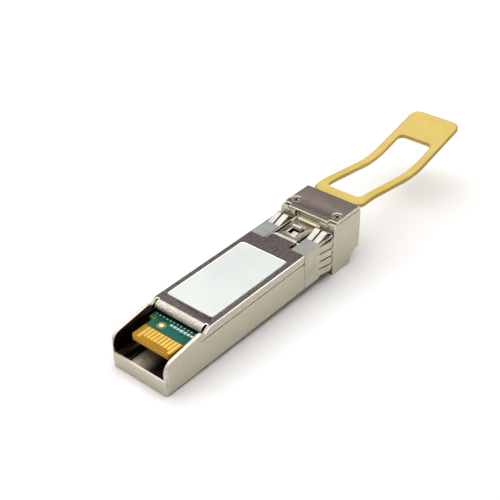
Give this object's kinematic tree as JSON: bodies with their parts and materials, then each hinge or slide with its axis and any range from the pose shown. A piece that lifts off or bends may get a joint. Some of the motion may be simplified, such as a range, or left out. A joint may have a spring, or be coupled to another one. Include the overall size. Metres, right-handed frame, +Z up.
{
  "type": "optical transceiver module",
  "caption": "Small pluggable optical transceiver: cast metal case open at the card-edge end, sprung collar, sprung latch lever and a long looped plastic pull tab.",
  "frame": {"origin": "bottom centre of the whole object, on the module's centre plane, at the height of the head's underside", "axes": "+X along the module from the card-edge end to the pull tab, +Y across it, +Z up with the latch side on top"},
  "size_m": [0.0962, 0.0144, 0.0134],
  "materials": {
    "nickel_casting": "as-cast zinc with satin nickel plating",
    "dark_casting": "as-cast, dark nickel, fine speckled grain",
    "collar_sheet": "thin matt tinned sheet",
    "screw_steel": "nickel-plated",
    "stamped_steel": "stamped, satin",
    "spring_steel": "drawn wire",
    "pin_steel": "ground",
    "label_film": "blank white film, semi-gloss",
    "absorber_rubber": "matt filled elastomer",
    "port_plastic": "moulded, fine texture",
    "solder_mask": "green solder mask over glass laminate",
    "gold_plating": "hard gold plating",
    "chip_mould": "moulded epoxy",
    "crystal_can": "seam-welded lid",
    "passive_ceramic": "ceramic with tinned ends",
    "thermal_gel": "soft gap filler",
    "osa_metal": "gold-flashed turned metal",
    "zirconia": "polished ceramic",
    "flex_film": "amber polyimide film",
    "tab_plastic": "moulded, satin, warm yellow"
  },
  "bodies": {
    "housing": {"base_housing": "nickel_casting", "top_cover": "dark_casting", "cover_label": "label_film", "head_cover": "dark_casting", "head_screws": "screw_steel", "emi_collar": "collar_sheet", "absorber_pad": "absorber_rubber", "port_insert": "port_plastic", "circuit_board": "solder_mask", "contacts_top": "gold_plating", "contacts_bottom": "gold_plating", "board_fiducial": "gold_plating", "laser_driver": "chip_mould", "receiver_ic": "chip_mould", "microcontroller": "chip_mould", "clock_crystal": "crystal_can", "board_passives": "passive_ceramic", "thermal_pad": "thermal_gel", "tosa_body": "osa_metal", "rosa_body": "osa_metal", "tosa_sleeve": "zirconia", "rosa_sleeve": "zirconia", "fiber_stubs": "zirconia", "tosa_flex": "flex_film", "rosa_flex": "flex_film", "osa_clamp": "stamped_steel", "lever_pin": "pin_steel", "lever_spring": "spring_steel", "return_springs": "spring_steel"},
    "pull": {"pull_slider": "stamped_steel", "pull_tab": "tab_plastic"},
    "lever": {"latch_lever": "dark_casting", "cam_pin": "pin_steel"}
  },
  "joints": [
    {"name": "tab_pull", "type": "slide", "parent": "housing", "child": "pull", "axis": [1, 0, 0], "range_m": [0, 0.002], "stiffness_N_per_m": 150, "springref_m": -0.003, "deforming": ["return_springs", "lever_spring"]},
    {"name": "lever_swing", "type": "hinge", "parent": "housing", "child": "lever", "pos_m": [-0.0073, 0, 0.00955], "axis": [0, 1, 0], "range_deg": [0, 6.8]}
  ],
  "couplings": [
    {"joint": "lever_swing", "follows": "tab_pull", "rad_per_m": 59.3}
  ]
}
